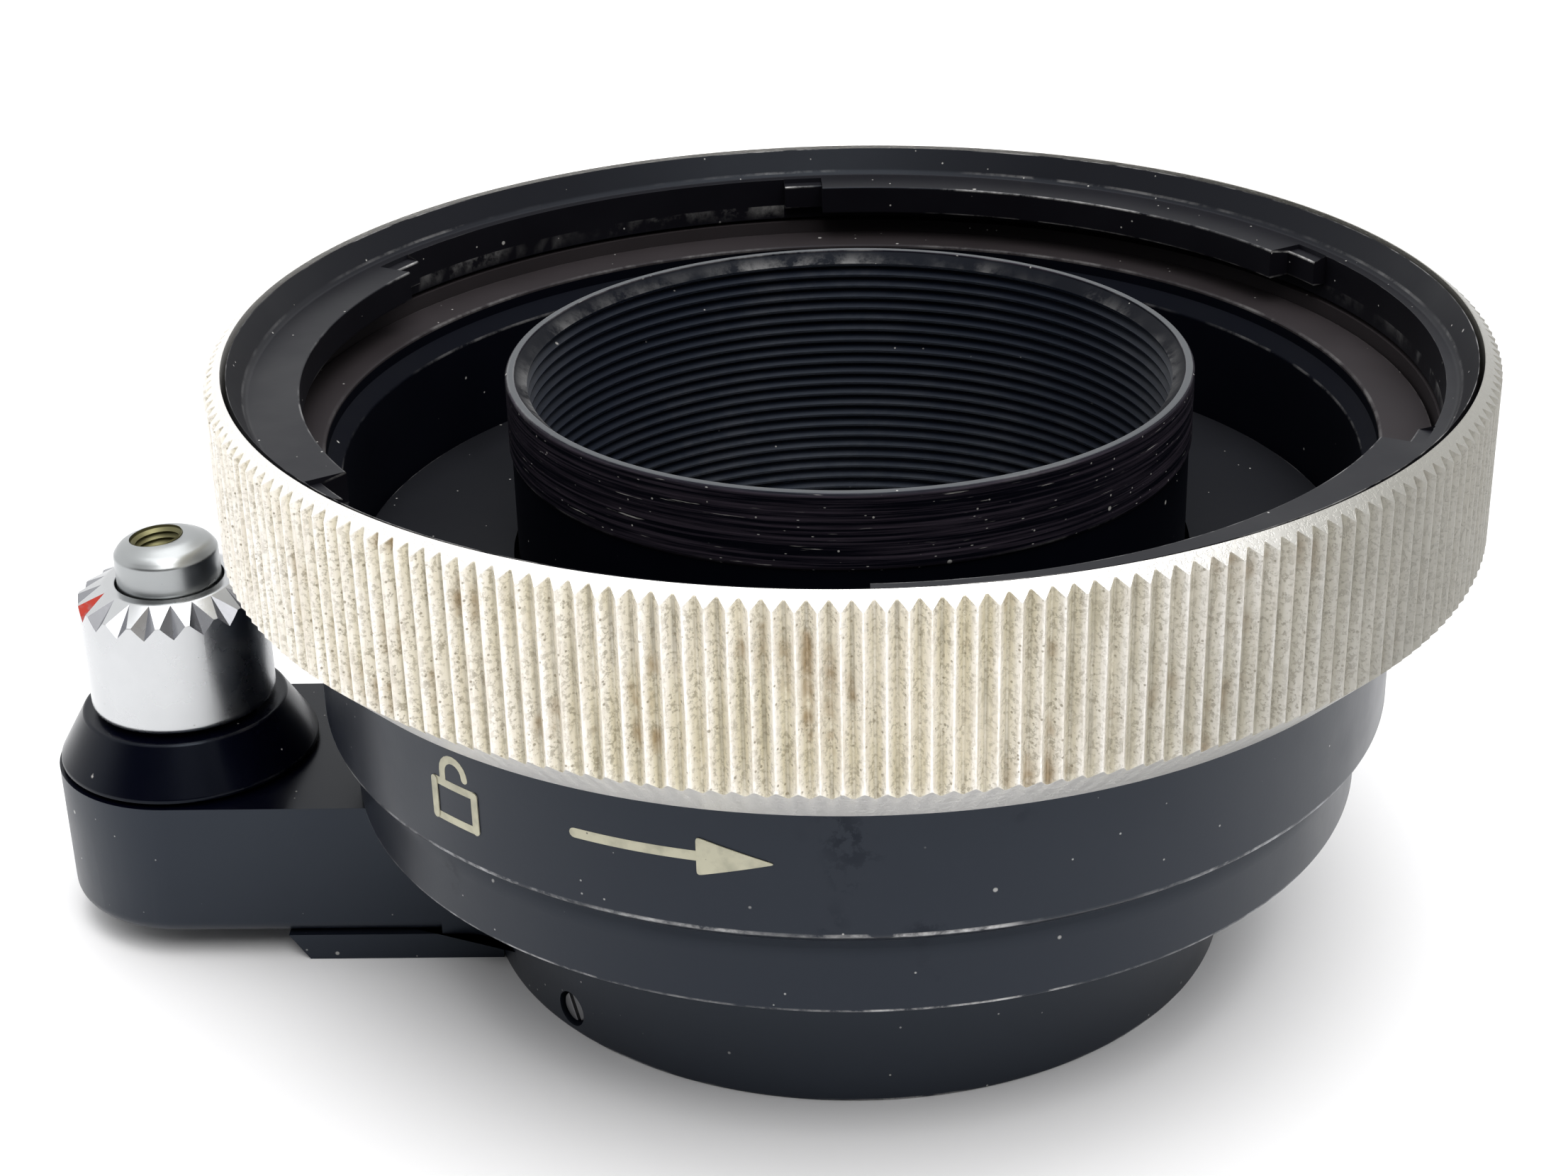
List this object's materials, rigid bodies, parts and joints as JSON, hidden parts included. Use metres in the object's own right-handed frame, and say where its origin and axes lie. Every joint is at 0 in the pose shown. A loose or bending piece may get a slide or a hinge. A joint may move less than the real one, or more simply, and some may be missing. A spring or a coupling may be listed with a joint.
{
  "type": "lens mount adapter",
  "caption": "Lens mount adapter with a knurled breech-lock ring, a light-baffle tube and a side arm carrying a release button in a locking collar.",
  "frame": {"origin": "on the optical axis, in the plane of the foot's lower face (the camera side)", "axes": "+Z along the optical axis towards the lens, -X along the side arm that carries the release button"},
  "size_m": [0.0939, 0.08, 0.0415],
  "materials": {
    "black_anodised": "satin black anodised, worn bright on the edges",
    "matt_black": "matt black anodised against reflections",
    "bare_aluminium": "bare, straight-knurled, grime in the grooves",
    "satin_chrome": "satin chrome plated brass",
    "steel": "turned and blackened in the slots"
  },
  "bodies": {
    "adapter_body": {"upper_shell": "black_anodised", "ring_stop_pin": "steel", "rear_shell": "black_anodised", "shell_screw_1": "steel", "shell_screw_2": "steel", "shell_screw_3": "steel", "shell_screw_4": "steel", "foot_screw_1": "steel", "foot_screw_2": "steel", "foot_screw_3": "steel", "foot_screw_4": "steel", "baffle_tube": "matt_black", "well_floor_plate": "matt_black", "foot_and_arm": "black_anodised", "grub_screw_1": "steel", "grub_screw_2": "steel", "grub_screw_3": "steel", "camera_bayonet": "satin_chrome", "bayonet_screw_1": "steel", "bayonet_screw_2": "steel", "bayonet_screw_3": "steel", "bayonet_screw_4": "steel", "arm_cover_plate": "black_anodised", "cover_screw_1": "steel", "cover_screw_2": "steel", "cover_screw_3": "steel", "cover_screw_4": "steel", "button_guide_boss": "black_anodised", "button_spring": "steel"},
    "lock_ring": {"knurled_grip_ring": "bare_aluminium", "bayonet_lug_ring": "black_anodised"},
    "collar": {"locking_collar": "satin_chrome"},
    "button": {"button_cap": "satin_chrome", "plunger_rod": "steel", "plunger_clip": "steel"}
  },
  "joints": [
    {"name": "ring_turn", "type": "hinge", "parent": "adapter_body", "child": "lock_ring", "pos_m": [0, 0, 0.0343], "axis": [0, 0, 1], "range_deg": [-60, 0]},
    {"name": "collar_turn", "type": "hinge", "parent": "adapter_body", "child": "collar", "pos_m": [-0.04506, 0, 0.0195], "axis": [0, 0, 1], "range_deg": [0, 90]},
    {"name": "button_press", "type": "slide", "parent": "adapter_body", "child": "button", "axis": [0, 0, -1], "range_m": [0, 0.003], "stiffness_N_per_m": 300, "springref_m": -0.003, "deforming": ["button_spring"]}
  ]
}
